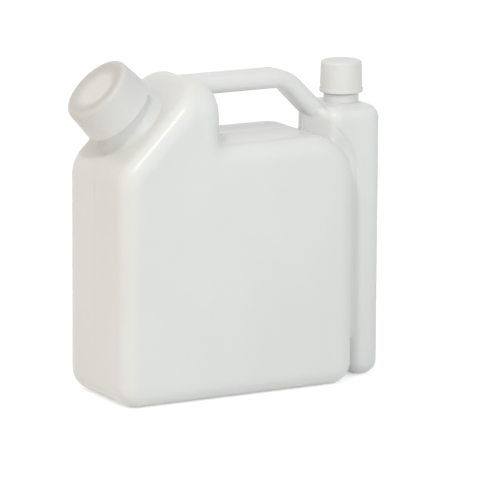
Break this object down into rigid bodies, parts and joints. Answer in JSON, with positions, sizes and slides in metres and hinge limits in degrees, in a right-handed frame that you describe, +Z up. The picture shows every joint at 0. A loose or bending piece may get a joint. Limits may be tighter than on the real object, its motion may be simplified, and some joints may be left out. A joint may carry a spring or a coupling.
{
  "type": "fuel mixing bottle",
  "caption": "Blow-moulded fuel mixing bottle: a fuel chamber with a slanted, screw-capped filler neck, a narrow oil column with a small screw cap and a hollow handle that joins them.",
  "frame": {"origin": "middle of the whole bottle's length and depth, on the surface that it stands on", "axes": "+Z up, +X along the bottle from the filler neck to the oil column, +Y through its depth to the back"},
  "size_m": [0.1764, 0.067, 0.1806],
  "materials": {
    "natural_polyethylene": "milky, faintly translucent, satin",
    "cap_plastic": "satin",
    "liner_foam": "matt foam sheet"
  },
  "bodies": {
    "bottle": {"bottle_body": "natural_polyethylene"},
    "filler_lift": {"filler_cap_liner": "liner_foam"},
    "filler_cap": {"filler_cap": "cap_plastic"},
    "oil_lift": {"oil_cap_liner": "liner_foam"},
    "oil_cap": {"oil_cap": "cap_plastic"}
  },
  "joints": [
    {"name": "filler_cap_lift", "type": "slide", "parent": "bottle", "child": "filler_lift", "axis": [-0.7071, 0, 0.7071], "range_m": [0, 0.0168]},
    {"name": "filler_cap_turn", "type": "hinge", "parent": "filler_lift", "child": "filler_cap", "pos_m": [-0.05421, 0, 0.1466], "axis": [-0.7071, 0, 0.7071], "range_deg": [0, 1440]},
    {"name": "oil_cap_lift", "type": "slide", "parent": "bottle", "child": "oil_lift", "axis": [0, 0, 1], "range_m": [0, 0.016]},
    {"name": "oil_cap_turn", "type": "hinge", "parent": "oil_lift", "child": "oil_cap", "pos_m": [0.07319, 0, 0.149], "axis": [0, 0, 1], "range_deg": [0, 1800]}
  ],
  "couplings": [
    {"joint": "filler_cap_lift", "follows": "filler_cap_turn", "m_per_rad": 0.00066845},
    {"joint": "oil_cap_lift", "follows": "oil_cap_turn", "m_per_rad": 0.00050929}
  ]
}
